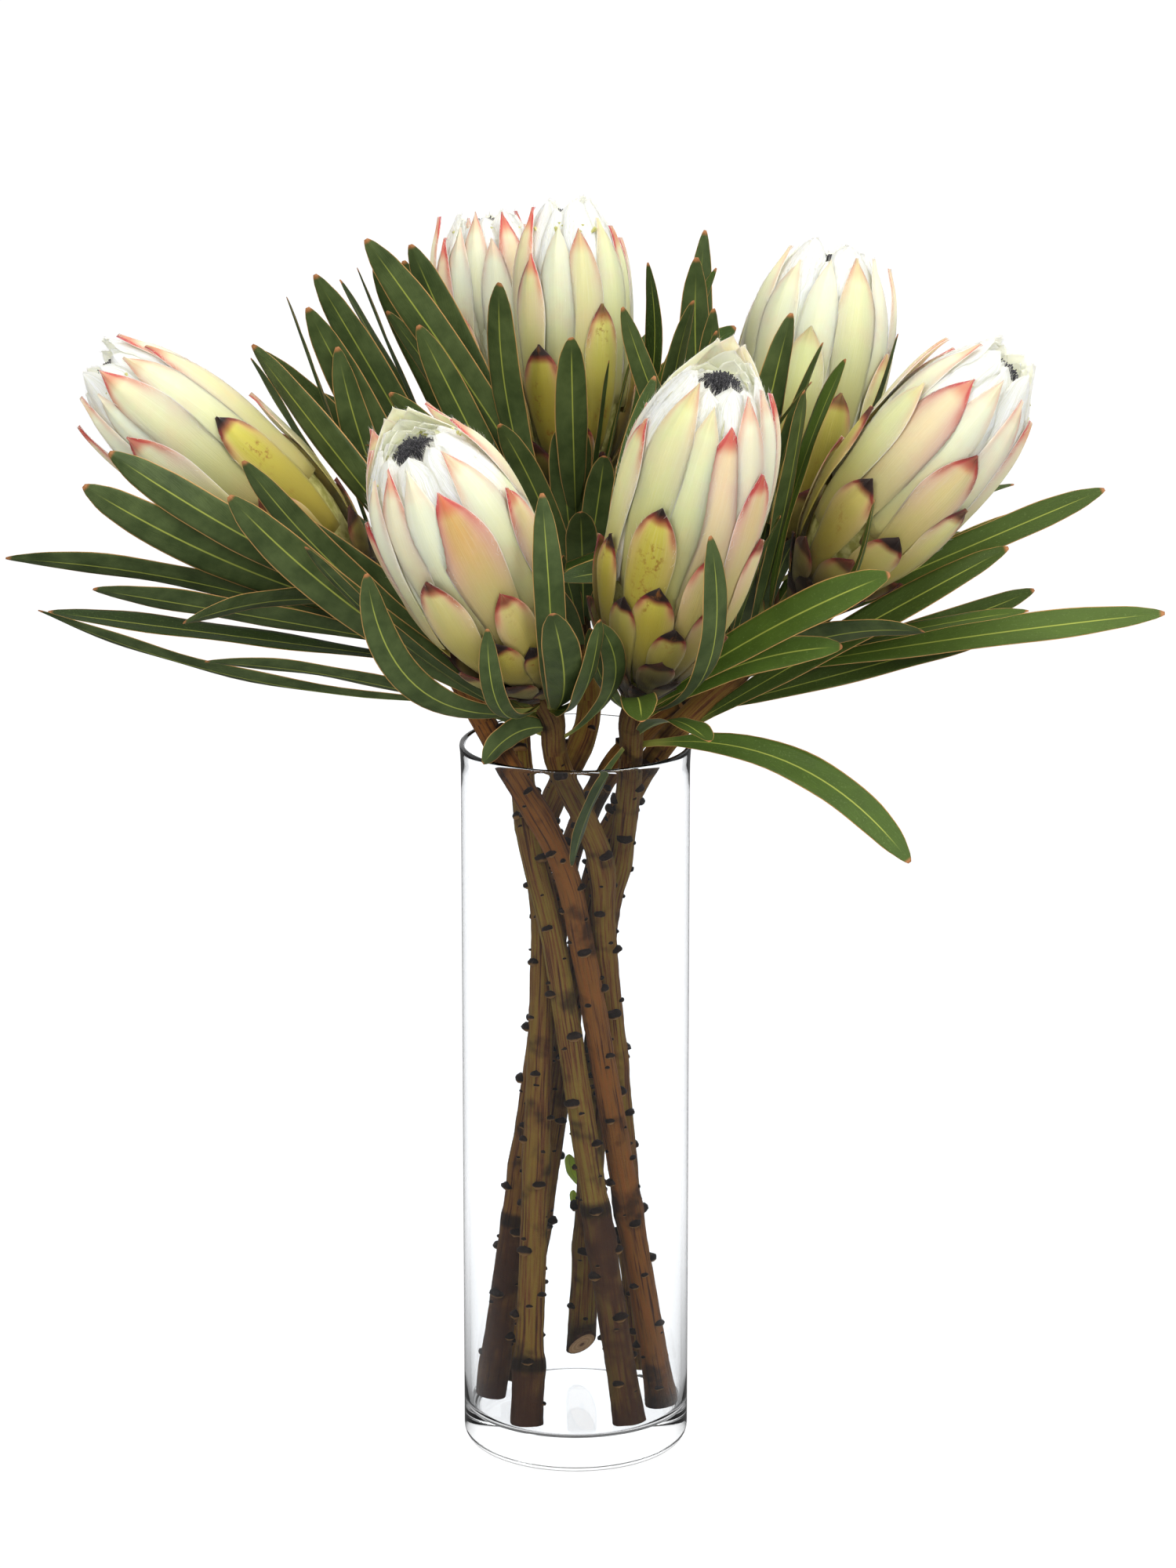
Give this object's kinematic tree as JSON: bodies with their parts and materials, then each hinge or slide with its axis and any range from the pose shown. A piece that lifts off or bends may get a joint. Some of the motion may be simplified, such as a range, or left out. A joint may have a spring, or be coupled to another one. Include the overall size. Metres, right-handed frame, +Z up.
{
  "type": "vase of protea flowers",
  "caption": "Cut protea flowers with leafy stems standing in a clear straight glass cylinder vase with a thick base and a lightly flared rim.",
  "frame": {"origin": "centre of the vase's flat underside", "axes": "+Z up along the vase's axis, -Y towards the front that the picture shows, +X to the viewer's right"},
  "size_m": [0.4618, 0.3128, 0.5075],
  "materials": {
    "vase_glass": "clear, polished",
    "stem_bark": "rough brown bark with dark leaf scars",
    "leaf": "leathery dark green with a yellow-green midrib",
    "bract": "silky cream to pale green, flushed pink at the tips",
    "floret_tuft": "fine near-black fuzz"
  },
  "bodies": {
    "root": {"glass_vase": "vase_glass", "stem_farLeft": "stem_bark", "leaves_farLeft": "leaf", "bloom_farLeft": "bract", "florets_farLeft": "floret_tuft", "stem_frontLeft": "stem_bark", "leaves_frontLeft": "leaf", "bloom_frontLeft": "bract", "florets_frontLeft": "floret_tuft", "stem_middle": "stem_bark", "leaves_middle": "leaf", "bloom_middle": "bract", "florets_middle": "floret_tuft", "stem_back": "stem_bark", "leaves_back": "leaf", "bloom_back": "bract", "florets_back": "floret_tuft", "stem_frontRight": "stem_bark", "leaves_frontRight": "leaf", "bloom_frontRight": "bract", "florets_frontRight": "floret_tuft", "stem_backRight": "stem_bark", "leaves_backRight": "leaf", "bloom_backRight": "bract", "florets_backRight": "floret_tuft", "stem_farRight": "stem_bark", "leaves_farRight": "leaf", "bloom_farRight": "bract", "florets_farRight": "floret_tuft"}
  },
  "joints": []
}
